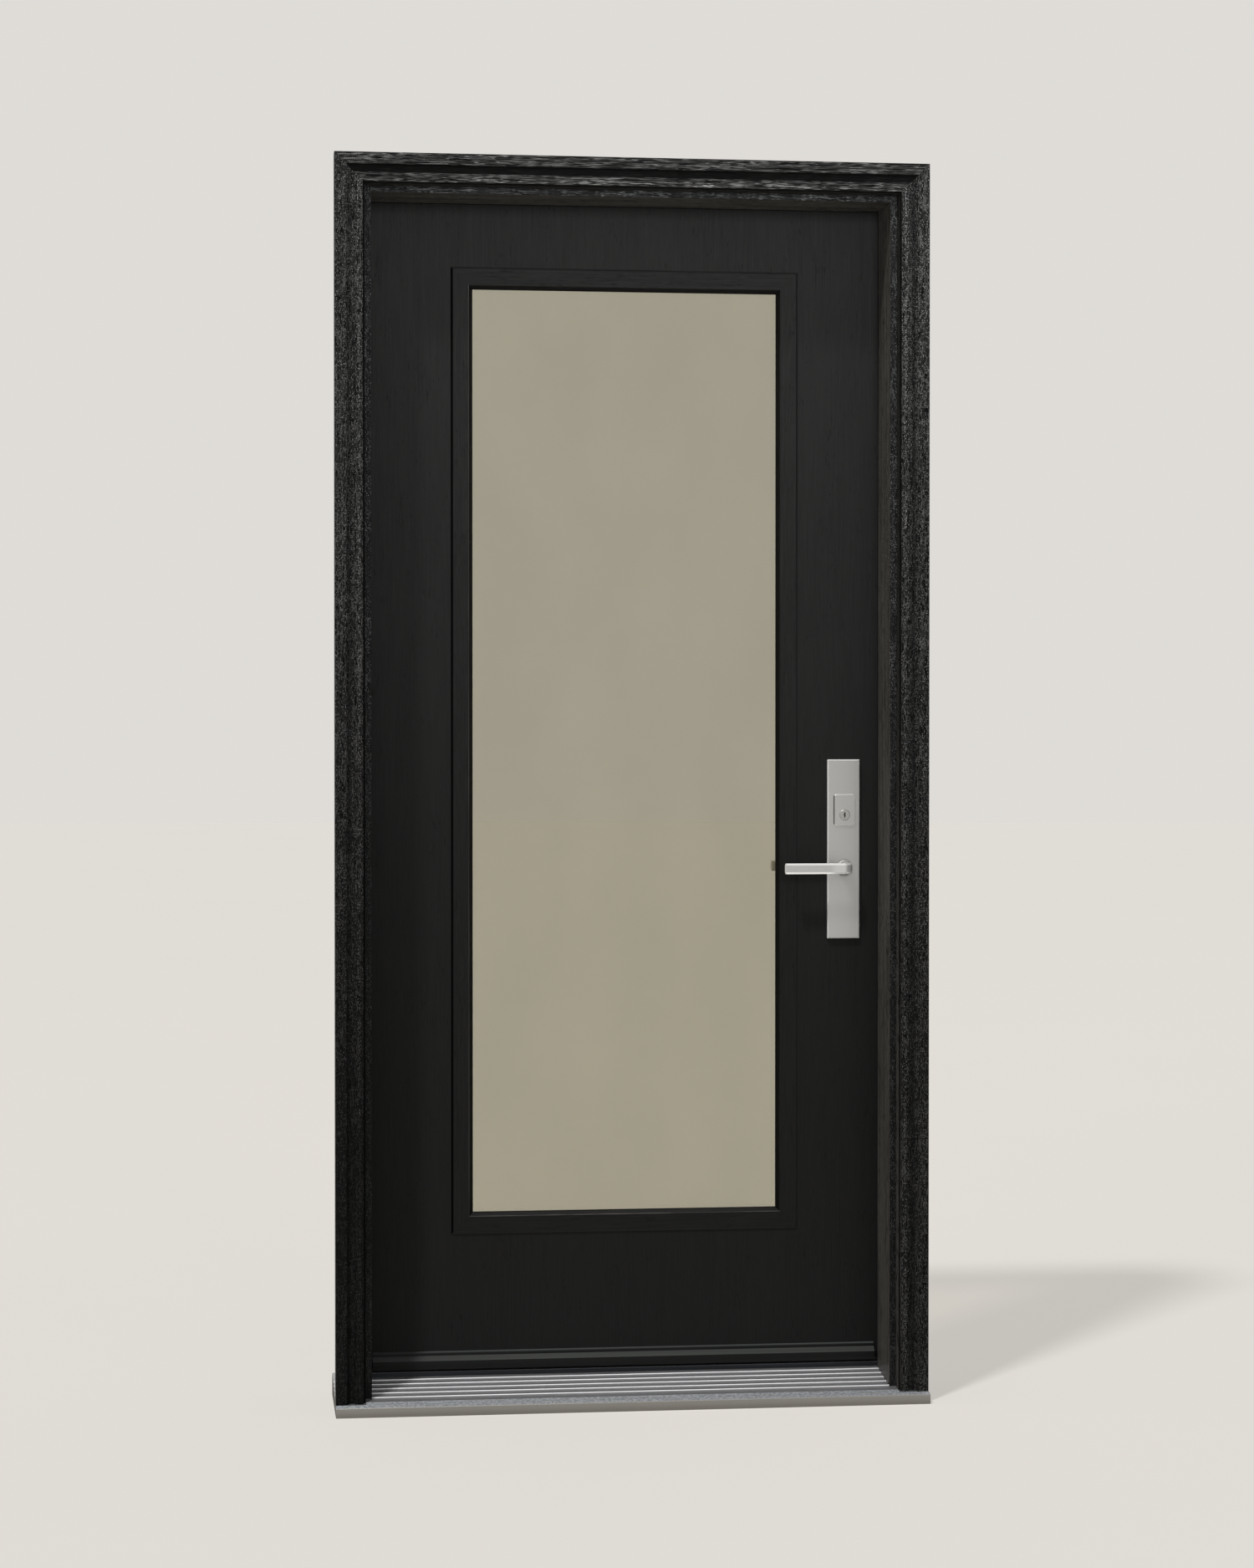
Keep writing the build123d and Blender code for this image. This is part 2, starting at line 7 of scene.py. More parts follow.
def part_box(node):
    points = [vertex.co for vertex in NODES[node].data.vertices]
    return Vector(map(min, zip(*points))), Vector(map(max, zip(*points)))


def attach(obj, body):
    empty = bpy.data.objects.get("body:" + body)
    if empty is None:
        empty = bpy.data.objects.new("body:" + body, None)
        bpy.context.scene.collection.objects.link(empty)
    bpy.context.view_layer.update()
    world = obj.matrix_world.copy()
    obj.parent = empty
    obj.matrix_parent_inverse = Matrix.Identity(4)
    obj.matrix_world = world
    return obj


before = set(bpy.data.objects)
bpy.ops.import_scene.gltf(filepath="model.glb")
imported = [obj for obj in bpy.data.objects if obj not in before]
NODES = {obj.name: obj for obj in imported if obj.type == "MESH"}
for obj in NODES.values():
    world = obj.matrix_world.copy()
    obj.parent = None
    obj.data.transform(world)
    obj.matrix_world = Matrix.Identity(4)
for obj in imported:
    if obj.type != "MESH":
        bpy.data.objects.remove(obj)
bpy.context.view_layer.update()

scene = bpy.context.scene


# ---------------------------------------------------------------- camera
# stands to the left of the doorway, a little above mid height, level to within a degree
cam_data = bpy.data.cameras.new("camera")
cam_data.lens = 74.80
cam_data.sensor_width = 36.0
cam_data.sensor_fit = "AUTO"
cam_data.clip_end = 200.0
cam = bpy.data.objects.new("camera", cam_data)
scene.collection.objects.link(cam)
yaw, pitch = math.radians(6.932), math.radians(0.764)
cam.location = (-0.681, -5.514, 1.137)
cam.rotation_euler = (math.pi / 2 - pitch, 0.0, -yaw)
scene.camera = cam

scene.view_settings.view_transform = "Standard"
scene.view_settings.look = "None"
scene.view_settings.exposure = 0.0
scene.view_settings.gamma = 1.0


# ---------------------------------------------------------------- node helpers
class Tree:
    """Small helper that adds nodes to a material and links them by socket name."""

    def __init__(self, name):
        self.mat = bpy.data.materials.new(name)
        self.mat.use_nodes = True
        self.nt = self.mat.node_tree
        self.nt.nodes.clear()
        self.out = self.nt.nodes.new("ShaderNodeOutputMaterial")

    def n(self, kind, **props):
        node = self.nt.nodes.new(kind)
        for k, v in props.items():
            setattr(node, k, v)
        return node

    def link(self, a, b):
        self.nt.links.new(a, b)

    def put(self, socket, value):
        if isinstance(value, bpy.types.NodeSocket):
            self.link(value, socket)
        else:
            socket.default_value = value

    def coord(self):
        return self.n("ShaderNodeTexCoord").outputs["Object"]

    def mapping(self, vec, scale=(1, 1, 1), loc=(0, 0, 0)):
        m = self.n("ShaderNodeMapping")
        self.link(vec, m.inputs["Vector"])
        m.inputs["Scale"].default_value = scale
        m.inputs["Location"].default_value = loc
        return m.outputs["Vector"]

    def noise(self, vec, scale=1.0, detail=3.0, rough=0.5, out="Fac", dist=0.0):
        t = self.n("ShaderNodeTexNoise")
        self.link(vec, t.inputs["Vector"])
        t.inputs["Scale"].default_value = scale
        t.inputs["Detail"].default_value = detail
        t.inputs["Roughness"].default_value = rough
        t.inputs["Distortion"].default_value = dist
        return t.outputs["Color" if out == "Color" else "Fac"]

    def math(self, op, a, b=0.0, c=None, clamp=False):
        m = self.n("ShaderNodeMath", operation=op, use_clamp=clamp)
        self.put(m.inputs[0], a)
        self.put(m.inputs[1], b)
        if c is not None:
            self.put(m.inputs[2], c)
        return m.outputs[0]

    def ramp(self, fac, lo, hi, to_lo=0.0, to_hi=1.0, smooth=True):
        m = self.n("ShaderNodeMapRange", interpolation_type="SMOOTHSTEP" if smooth else "LINEAR", clamp=True)
        self.put(m.inputs["Value"], fac)
        m.inputs["From Min"].default_value = lo
        m.inputs["From Max"].default_value = hi
        m.inputs["To Min"].default_value = to_lo
        m.inputs["To Max"].default_value = to_hi
        return m.outputs["Result"]

    def mix(self, fac, a, b):
        m = self.n("ShaderNodeMix", data_type="RGBA", clamp_factor=True)
        self.put(m.inputs[0], fac)
        self.put(m.inputs[6], a if isinstance(a, bpy.types.NodeSocket) else (*a, 1.0))
        self.put(m.inputs[7], b if isinstance(b, bpy.types.NodeSocket) else (*b, 1.0))
        return m.outputs[2]

    def vadd(self, a, b):
        m = self.n("ShaderNodeVectorMath", operation="ADD")
        self.put(m.inputs[0], a)
        self.put(m.inputs[1], b)
        return m.outputs[0]

    def vmul(self, a, b):
        m = self.n("ShaderNodeVectorMath", operation="MULTIPLY")
        self.put(m.inputs[0], a)
        self.put(m.inputs[1], b)
        return m.outputs[0]

    def sep(self, vec):
        s = self.n("ShaderNodeSeparateXYZ")
        self.link(vec, s.inputs[0])
        return s.outputs

    def bump(self, height, distance, strength=1.0, normal=None):
        b = self.n("ShaderNodeBump")
        b.inputs["Strength"].default_value = strength
        b.inputs["Distance"].default_value = distance
        self.link(height, b.inputs["Height"])
        if normal is not None:
            self.link(normal, b.inputs["Normal"])
        return b.outputs["Normal"]

    def principled(self, **values):
        p = self.n("ShaderNodeBsdfPrincipled")
        for k, v in values.items():
            self.put(p.inputs[k.replace("_", " ")], v)
        self.link(p.outputs[0], self.out.inputs["Surface"])
        return p


AXES = {"X": 0, "Y": 1, "Z": 2}


def aniso(along, across_scale, along_scale):
    v = [across_scale] * 3
    v[AXES[along]] = along_scale
    return tuple(v)


def grain_layers(t, along, seed=0.0, wander=0.0022, pitch=1.0):
    """Fibre, vein and pore patterns of wood grain running along one axis, all from object coordinates."""
    p = t.coord()
    p = t.vadd(p, (seed, seed * 0.7, seed * 1.3))
    low = t.noise(t.mapping(p, aniso(along, 16, 3.2)), detail=2.0, out="Color")
    low = t.vadd(low, (-0.5, -0.5, -0.5))
    push = [wander * 2] * 3
    push[AXES[along]] = 0.0
    p = t.vadd(p, t.vmul(low, tuple(push)))
    mid = t.noise(t.mapping(p, aniso(along, 90, 22)), detail=2.0, out="Color")
    mid = t.vadd(mid, (-0.5, -0.5, -0.5))
    push2 = [wander * 0.55] * 3
    push2[AXES[along]] = 0.0
    p = t.vadd(p, t.vmul(mid, tuple(push2)))
    fibre = t.noise(t.mapping(p, aniso(along, 620 / pitch, 22)), detail=4.0, rough=0.62)
    vein_n = t.noise(t.mapping(p, aniso(along, 250 / pitch, 13)), detail=2.5, rough=0.55)
    vein = t.ramp(t.math("ABSOLUTE", t.math("SUBTRACT", vein_n, 0.5)), 0.0, 0.035, 1.0, 0.0)
    pore_n = t.noise(t.mapping(p, aniso(along, 430 / pitch, 62)), detail=2.0, rough=0.5)
    broad = t.noise(t.mapping(p, aniso(along, 34, 2.2)), detail=3.0, rough=0.55)
    patch = t.noise(t.mapping(p, aniso(along, 26, 14)), detail=2.0, rough=0.5)
    return dict(p=p, fibre=fibre, vein=vein, pore_n=pore_n, broad=broad, patch=patch)


def emboss(t, p, along, lines=0.0):
    """Height pattern of deep open grain: small raised scales in rows, or long wavy ridges where lines nears 1."""
    cell = t.n("ShaderNodeTexVoronoi", feature="F1", voronoi_dimensions="3D")
    t.link(t.mapping(p, aniso(along, 500 - 80 * lines, 290 - 245 * lines)), cell.inputs["Vector"])
    cell.inputs["Scale"].default_value = 1.0
    cell.inputs["Randomness"].default_value = 0.75
    chance = t.sep(cell.outputs["Color"])[0]
    scale = t.math("MULTIPLY", t.ramp(cell.outputs["Distance"], 0.48, 0.28), t.ramp(chance, 0.12, 0.9, 0.15, 1.0))
    wave_n = t.noise(t.mapping(p, aniso(along, 250 + 200 * lines, 44 - 27 * lines)), detail=1.5, rough=0.5)
    wave = t.ramp(t.math("ABSOLUTE", t.math("SUBTRACT", wave_n, 0.5)), 0.014, 0.045 + 0.005 * lines, 1.0, 0.0)
    wave = t.math("MULTIPLY", wave, t.ramp(t.noise(t.mapping(p, aniso(along, 90, 30)), detail=1.0), 0.38, 0.56, 0.3, 1.0))
    a, b = 1.0 - 0.45 * lines, 0.35 + 0.65 * lines
    return t.math("MAXIMUM", t.math("MULTIPLY", scale, a), t.math("MULTIPLY", wave, b), clamp=True), wave_n


def black_wood(name, along, seed=0.0, dark=(0.0030, 0.0030, 0.0030), mid=(0.0085, 0.0085, 0.0084),
               fleck=(0.050, 0.050, 0.049), lines=0.0, relief=0.0005, rough=0.44, spec=0.05, painted_glint=None,
               smooth=None, side=None):
    """Black finish over deeply embossed grain. worn, smooth and side are 0 to 1 masks: worn a painted highlight on the
    flecks, smooth painted shade that darkens the moulding's hollow and clears its flecks, and side where a browner
    sawn side shows."""
    t = Tree(name)
    g = grain_layers(t, along, seed, wander=0.0026)
    p = g["p"]
    light, wave_n = emboss(t, p, along, lines)
    pit = t.ramp(wave_n, 0.43, 0.36)
    base = t.mix(t.ramp(g["fibre"], 0.36, 0.66), dark, mid)
    base = t.mix(pit, base, tuple(v * 0.5 for v in dark))
    amount = t.ramp(g["patch"], 0.34, 0.60, 0.75, 1.0)
    # painted shade: where the mask is set the base darkens and the flecks fade
    if smooth is not None:
        plain = smooth(t)
        amount = t.math("MULTIPLY", amount, t.math("SUBTRACT", 1.0, t.math("MULTIPLY", plain, 0.97)))
        base = t.mix(plain, base, tuple(v * 0.8 for v in dark))
    light = t.math("MULTIPLY", light, amount)
    tint = fleck
    # painted highlight: the flecks up to 2.2 times lighter where the mask is set
    if painted_glint is not None:
        tint = t.mix(painted_glint(t), fleck, tuple(min(1.0, v * 2.2) for v in fleck))
    colour = t.mix(light, base, tint)
    if side is not None:
        tick_n = t.noise(t.mapping(p, aniso(along, 330, 46)), detail=2.0, rough=0.55)
        height_z = t.sep(t.coord())[2]
        dim = t.mix(t.ramp(g["fibre"], 0.36, 0.64), (0.012, 0.0115, 0.0105), (0.030, 0.0285, 0.0255))
        pale = t.mix(t.ramp(g["fibre"], 0.36, 0.64), (0.038, 0.0365, 0.034), (0.066, 0.064, 0.060))
        # painted light: the sawn side is paler low down and darker higher up
        sawn = t.mix(t.ramp(height_z, 0.55, 1.45), pale, dim)
        sawn = t.mix(t.ramp(tick_n, 0.45, 0.38), sawn, (0.004, 0.004, 0.0038))
        colour = t.mix(side(t), colour, sawn)
    height = t.math("ADD", t.math("MULTIPLY", g["fibre"], 0.25), light)
    height = t.math("SUBTRACT", height, t.math("MULTIPLY", pit, 0.6))
    normal = t.bump(height, relief, 1.0)
    r = t.ramp(g["fibre"], 0.3, 0.7, rough + 0.08, rough - 0.06)
    t.principled(Base_Color=colour, Roughness=r, Specular_IOR_Level=spec, Normal=normal)
    return t.mat


def casing_masks(part):
    """Position across the moulding, measured from its inner edge, gives painted shade in the hollow and the quirk, a
    painted highlight on the bead's crown, and the sides. The left upright gets painted shade towards its foot: darker,
    fewer flecks."""
    inner_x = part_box("brickmould_left")[1].x       # negative
    inner_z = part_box("brickmould_head")[0].z

    def across(t):
        x, y, z = t.sep(t.coord())
        if part == "left":
            return t.math("SUBTRACT", inner_x, x)
        if part == "right":
            return t.math("ADD", x, inner_x)
        return t.math("SUBTRACT", z, inner_z)

    def band(t, a, b, soft=0.0008):
        s = across(t)
        return t.math("MULTIPLY", t.ramp(s, a - soft, a + soft), t.ramp(s, b - soft, b + soft, 1.0, 0.0))

    # painted shade in the hollow and the quirk, and on the left upright towards its foot
    def smooth(t):
        quirk = t.ramp(across(t), 0.0026, 0.0036, 1.0, 0.0)
        if part == "head":
            return t.math("MAXIMUM", band(t, 0.0180, 0.0315), quirk)
        hollow = band(t, 0.0205, 0.0275, 0.0015) if part == "right" else band(t, 0.0215, 0.0285, 0.0015)
        plain = t.math("MAXIMUM", t.math("MULTIPLY", hollow, 0.7 if part == "right" else 0.5), quirk)
        if part == "left":
            foot = t.ramp(t.sep(t.coord())[2], 0.25, 1.25, 0.76, 0.0)
            plain = t.math("MAXIMUM", plain, foot)
        return plain

    # painted highlight along the bead's crown
    def painted_glint(t):
        if part == "head":
            return band(t, 0.0030, 0.0085, 0.0025)
        return t.math("MULTIPLY", band(t, 0.0080, 0.0115, 0.0015), 0.45)

    def side(t):
        nx, ny, nz = t.sep(t.n("ShaderNodeTexCoord").outputs["Normal"])
        return t.math("GREATER_THAN", ny, -0.06)

    return dict(smooth=smooth, painted_glint=painted_glint, side=side)


def jamb_wood(name, along, seed=0.0):
    """Jamb stock: embossed like the casing on its front edge, a browner straight grain with dark ticks on the rest."""
    t = Tree(name)
    g = grain_layers(t, along, seed, wander=0.003)
    p = g["p"]
    nx, ny, nz = t.sep(t.n("ShaderNodeTexCoord").outputs["Normal"])
    front = t.math("LESS_THAN", ny, -0.7)
    # front edge
    light, wave_n = emboss(t, p, along, 0.75 if along == "X" else 0.0)
    light = t.math("MULTIPLY", light, t.ramp(g["patch"], 0.34, 0.60, 0.4, 1.0))
    c_front = t.mix(light, t.mix(t.ramp(g["fibre"], 0.36, 0.66), (0.0022, 0.0023, 0.0023), (0.0058, 0.0060, 0.0060)),
                    (0.058, 0.0595, 0.060))
    # inner faces
    wide = t.noise(t.mapping(p, aniso(along, 95, 2.6)), detail=4.0, rough=0.62)
    # fine pores, standing in short clusters
    tick_n = t.noise(t.mapping(p, aniso(along, 700, 30)), detail=2.0, rough=0.5)
    cluster_n = t.noise(t.mapping(p, aniso(along, 230, 62)), detail=1.5, rough=0.5)
    tick = t.math("MULTIPLY", t.ramp(tick_n, 0.52, 0.46), t.ramp(cluster_n, 0.475, 0.425))
    tick = t.math("MULTIPLY", tick, t.ramp(g["patch"], 0.34, 0.54, 0.45, 1.0))
    c_in = t.mix(t.ramp(wide, 0.38, 0.60), (0.0265, 0.0252, 0.0228), (0.0680, 0.0645, 0.0575))
    c_in = t.mix(t.ramp(g["fibre"], 0.36, 0.68, 0.0, 0.55), c_in, (0.0760, 0.0715, 0.0630))
    c_in = t.mix(t.math("MULTIPLY", tick, 0.9), c_in, (0.0075, 0.0072, 0.0066))
    # the sides that go against the wall are plain sealed stock: long quiet fibre, hardly any ticks
    x, y, z = t.sep(t.coord())
    hidden = t.math("MAXIMUM", t.math("GREATER_THAN", t.math("ABSOLUTE", x), 0.4770),
                    t.math("GREATER_THAN", z, 2.0932))
    long_n = t.noise(t.mapping(p, aniso(along, 420, 5)), detail=4.0, rough=0.62)
    c_back = t.mix(t.ramp(long_n, 0.34, 0.66), (0.0165, 0.0158, 0.0145), (0.0300, 0.0288, 0.0262))
    c_back = t.mix(t.ramp(g["broad"], 0.4, 0.65, 0.0, 0.3), c_back, (0.0135, 0.0130, 0.0120))
    c_in = t.mix(hidden, c_in, c_back)
    tick = t.math("MULTIPLY", tick, t.math("SUBTRACT", 1.0, hidden))
    colour = t.mix(front, c_in, c_front)
    h_front = t.math("ADD", t.math("MULTIPLY", g["fibre"], 0.3), light)
    h_in = t.math("SUBTRACT", t.math("MULTIPLY", g["fibre"], 0.25), t.math("MULTIPLY", tick, 0.6))
    m = t.n("ShaderNodeMix", data_type="FLOAT")
    t.link(front, m.inputs[0])
    t.link(h_in, m.inputs[2])
    t.link(h_front, m.inputs[3])
    normal = t.bump(m.outputs[0], 0.0004, 1.0)
    t.principled(Base_Color=colour, Roughness=t.ramp(g["fibre"], 0.3, 0.7, 0.52, 0.42),
                 Specular_IOR_Level=0.10, Normal=normal)
    return t.mat


def satin_skin(name, along="Z", seed=0.0, dark=(0.0085, 0.0085, 0.0085), light=(0.0135, 0.0135, 0.0133),
               rough=0.46, spec=0.2, relief=0.00007):
    """Factory black finish over an embossed, very fine straight grain."""
    t = Tree(name)
    g = grain_layers(t, along, seed, wander=0.004)
    line = t.noise(t.mapping(g["p"], aniso(along, 760, 9)), detail=3.0, rough=0.6)
    tick = t.ramp(g["pore_n"], 0.40, 0.33)
    tick = t.math("MULTIPLY", tick, t.ramp(g["patch"], 0.45, 0.62))
    colour = t.mix(t.ramp(line, 0.35, 0.68), dark, light)
    colour = t.mix(t.ramp(g["broad"], 0.4, 0.65, 0.0, 0.35), colour, light)
    colour = t.mix(t.math("MULTIPLY", tick, 0.6), colour, (0.003, 0.003, 0.003))
    height = t.math("SUBTRACT", t.math("MULTIPLY", line, 0.7), t.math("MULTIPLY", tick, 0.7))
    normal = t.bump(height, relief, 1.0)
    r = t.ramp(line, 0.3, 0.7, rough + 0.05, rough - 0.04)
    t.principled(Base_Color=colour, Roughness=r, Specular_IOR_Level=spec, Normal=normal)
    return t.mat


def lite_skin(name, node, turn=0.0305):
    """The light frame's finish: grain follows each member, with the change of direction on the mitres. turn is the
    distance from the outer edge to where the face slopes in to the glass."""
    lo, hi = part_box(node)
    cx, cz = (lo.x + hi.x) / 2, (lo.z + hi.z) / 2
    hx, hz = (hi.x - lo.x) / 2, (hi.z - lo.z) / 2
    t = Tree(name)
    x, y, z = t.sep(t.coord())
    dx = t.math("SUBTRACT", hx, t.math("ABSOLUTE", t.math("SUBTRACT", x, cx)))
    dz = t.math("SUBTRACT", hz, t.math("ABSOLUTE", t.math("SUBTRACT", z, cz)))
    across = t.math("LESS_THAN", dz, dx)       # 1 on the top and bottom members
    heights, colours = [], []
    for along, seed in (("Z", 3.1), ("X", 5.7)):
        g = grain_layers(t, along, seed, wander=0.003)
        line = t.noise(t.mapping(g["p"], aniso(along, 640, 14)), detail=3.0, rough=0.6)
        tick = t.math("MULTIPLY", t.ramp(g["pore_n"], 0.42, 0.35), t.ramp(g["patch"], 0.42, 0.6))
        c = t.mix(t.ramp(line, 0.35, 0.68), (0.0065, 0.0065, 0.0065), (0.0098, 0.0098, 0.0097))
        c = t.mix(t.math("MULTIPLY", tick, 0.6), c, (0.003, 0.003, 0.003))
        colours.append(c)
        heights.append(t.math("SUBTRACT", t.math("MULTIPLY", line, 0.7), t.math("MULTIPLY", tick, 0.7)))
    colour = t.mix(across, colours[0], colours[1])
    m = t.n("ShaderNodeMix", data_type="FLOAT")
    t.link(across, m.inputs[0])
    t.link(heights[0], m.inputs[2])
    t.link(heights[1], m.inputs[3])
    edge = t.math("ABSOLUTE", t.math("SUBTRACT", dx, dz))
    groove = t.ramp(edge, 0.0, 0.0006, 1.0, 0.0)
    colour = t.mix(t.math("MULTIPLY", groove, 0.55), colour, (0.003, 0.003, 0.003))
    # the outer side walls: painted shade, near black, where they turn left; where they turn right or down, painted
    # light that is paler low down and darker high up
    nx, ny, nz = t.sep(t.n("ShaderNodeTexCoord").outputs["Normal"])
    inset = t.math("MINIMUM", dx, dz)
    wall = t.ramp(inset, 0.0030, 0.0036, 1.0, 0.0)
    colour = t.mix(t.math("MULTIPLY", wall, t.ramp(nx, -0.3, -0.4)), colour, (0.0006, 0.0006, 0.0006))
    # painted shadow: a near-black strip along the outer edge of the left member
    verge = t.math("MULTIPLY", t.ramp(dx, 0.0036, 0.0042, 1.0, 0.0), t.math("LESS_THAN", x, cx))
    colour = t.mix(t.math("MULTIPLY", verge, t.math("SUBTRACT", 1.0, across)), colour, (0.0006, 0.0006, 0.0006))
    # painted light on the walls that turn right or down: paler towards the foot, darker high up
    low_tone = t.mix(t.ramp(z, 0.5, 1.8), (0.0250, 0.0250, 0.0247), (0.0060, 0.0060, 0.0060))
    colour = t.mix(t.math("MULTIPLY", wall, t.math("MAXIMUM", t.ramp(nx, 0.3, 0.4), t.ramp(nz, -0.3, -0.4))),
                   colour, low_tone)
    # the arris where the face turns in to the glass carries a patchy painted highlight along the foot and the left
    # member
    arris = t.math("MULTIPLY", t.ramp(inset, turn - 0.0007, turn - 0.0002),
                   t.ramp(inset, turn + 0.0003, turn + 0.0009, 1.0, 0.0))
    below = t.math("MULTIPLY", across, t.math("LESS_THAN", z, cz))
    left = t.math("MULTIPLY", t.math("SUBTRACT", 1.0, across), t.math("LESS_THAN", x, cx))
    painted_arris_light = t.math("ADD", t.math("MULTIPLY", below, 0.7), t.math("MULTIPLY", left, 0.35))
    uneven = t.ramp(t.noise(t.mapping(t.coord(), (14, 14, 5)), detail=3.0), 0.36, 0.62, 0.3, 1.0)
    colour = t.mix(t.math("MULTIPLY", t.math("MULTIPLY", arris, painted_arris_light), uneven), colour, (0.115, 0.115, 0.112))
    # painted shade: the slope inside it stays darker at the top, right and left
    slope = t.math("MULTIPLY", t.ramp(inset, turn + 0.0009, turn + 0.0013), t.math("SUBTRACT", 1.0, below))
    colour = t.mix(t.math("MULTIPLY", slope, 0.85), colour, (0.0010, 0.0009, 0.0008))
    height = t.math("SUBTRACT", m.outputs[0], t.math("MULTIPLY", groove, 1.2))
    normal = t.bump(height, 0.00008, 1.0)
    t.principled(Base_Color=colour, Roughness=0.45, Specular_IOR_Level=0.1, Normal=normal)
    return t.mat


def satin_metal(name, colour, along="Z", rough=0.38, variation=0.05, relief=0.00001, lines=1.0, metallic=1.0,
                bevel=None, tip=None, painted_shade_sides=False, matt_back_painted_light=None):
    """Brushed and lacquered metal: long fine lines, a faint cloudiness, uneven gloss. bevel is the colour of the
    chamfers, lighter as a painted highlight, tip the x in metres before which the end bevel counts as one,
    painted_shade_sides paints shade down the left side and dims the top chamfers, and matt_back_painted_light is a
    pale matt colour painted as light on the side that faces the leaf."""
    t = Tree(name)
    p = t.coord()
    brush = t.noise(t.mapping(p, aniso(along, 2600, 60)), detail=3.0, rough=0.6)
    cloud = t.noise(t.mapping(p, (22, 22, 22)), detail=3.0, rough=0.55)
    hi = tuple(min(1.0, c * (1 + variation)) for c in colour)
    lo = tuple(c * (1 - variation) for c in colour)
    c = t.mix(t.ramp(brush, 0.3, 0.7), lo, hi)
    c = t.mix(t.ramp(cloud, 0.35, 0.65, 0.0, 0.2), c, lo)
    r = t.math("ADD", t.ramp(brush, 0.3, 0.7, rough - 0.03 * lines, rough + 0.04 * lines),
               t.ramp(cloud, 0.3, 0.7, -0.012, 0.016))
    shine = metallic
    if bevel is not None:
        nx, ny, nz = t.sep(t.n("ShaderNodeTexCoord").outputs["Normal"])
        x, y, z = t.sep(p)
        lean = t.math("ABSOLUTE", nz)
        if tip is None:
            lean = t.math("MAXIMUM", lean, t.math("ABSOLUTE", nx))
        edge = t.math("MULTIPLY", t.math("GREATER_THAN", lean, 0.2), t.math("LESS_THAN", lean, 0.96))
        if tip is not None:
            lean_x = t.math("ABSOLUTE", nx)
            end = t.math("MULTIPLY", t.math("GREATER_THAN", lean_x, 0.3), t.math("LESS_THAN", x, tip))
            edge = t.math("MAXIMUM", edge, end)
        else:
            # the collar round the lever keeps the plain satin finish
            dx, dz = t.math("SUBTRACT", x, 0.3856), t.math("SUBTRACT", z, 0.9144)
            far = t.math("ADD", t.math("MULTIPLY", dx, dx), t.math("MULTIPLY", dz, dz))
            edge = t.math("MULTIPLY", edge, t.math("GREATER_THAN", far, 0.00024))
            near = t.math("LESS_THAN", far, 0.00024)
            r = t.math("ADD", r, t.math("MULTIPLY", near, 0.16))
            c = t.mix(near, c, tuple(v * 0.80 for v in colour))
        # painted highlight: the chamfers take the bevel colour
        c = t.mix(edge, c, bevel)
        if tip is not None:
            # painted highlights: the under bevel and the bend lightest, and the front face towards the bend
            under = t.math("MULTIPLY", edge, t.math("LESS_THAN", nz, 0.0))
            c = t.mix(under, c, tuple(min(1.0, v * 1.70) for v in bevel))
            bend = t.math("MULTIPLY", t.ramp(nx, 0.25, 0.9), t.math("GREATER_THAN", x, 0.37))
            c = t.mix(bend, c, tuple(min(1.0, v * 1.75) for v in colour))
            c = t.mix(t.math("MULTIPLY", t.ramp(x, 0.350, 0.366), t.math("LESS_THAN", ny, -0.9)), c,
                      tuple(min(1.0, v * 1.22) for v in colour))
        # painted shade: the top chamfers dimmed and the left side near black
        if painted_shade_sides:
            c = t.mix(t.math("MULTIPLY", edge, t.math("GREATER_THAN", nz, 0.2)), c, tuple(v * 0.66 for v in bevel))
            c = t.mix(t.math("LESS_THAN", nx, -0.6), c, (0.025, 0.025, 0.025))
        r = t.math("SUBTRACT", r, t.math("MULTIPLY", edge, 0.04))
        shine = t.ramp(edge, 0.0, 1.0, metallic, 0.35)
        # painted light: the side facing the leaf turns pale and matt
        if matt_back_painted_light is not None:
            back = t.math("MULTIPLY", t.math("LESS_THAN", ny, -0.5), t.math("GREATER_THAN", t.sep(p)[1], 0.15))
            c = t.mix(back, c, matt_back_painted_light)
            shine = t.math("MULTIPLY", shine, t.math("SUBTRACT", 1.0, back))
            r = t.math("ADD", r, t.math("MULTIPLY", back, 0.3))
    t.principled(Base_Color=c, Metallic=shine, Roughness=r,
                 Normal=t.bump(brush, relief, 0.6))
    return t.mat


def rubber(name, colour=(0.012, 0.012, 0.012)):
    t = Tree(name)
    p = t.coord()
    fine = t.noise(t.mapping(p, (1500, 1500, 1500)), detail=2.0)
    cloud = t.noise(t.mapping(p, (60, 60, 60)), detail=3.0)
    c = t.mix(t.ramp(cloud, 0.35, 0.7), colour, tuple(v * 1.7 for v in colour))
    t.principled(Base_Color=c, Roughness=t.ramp(fine, 0.3, 0.7, 0.62, 0.78), Specular_IOR_Level=0.25,
                 Normal=t.bump(fine, 0.00005, 0.6))
    return t.mat


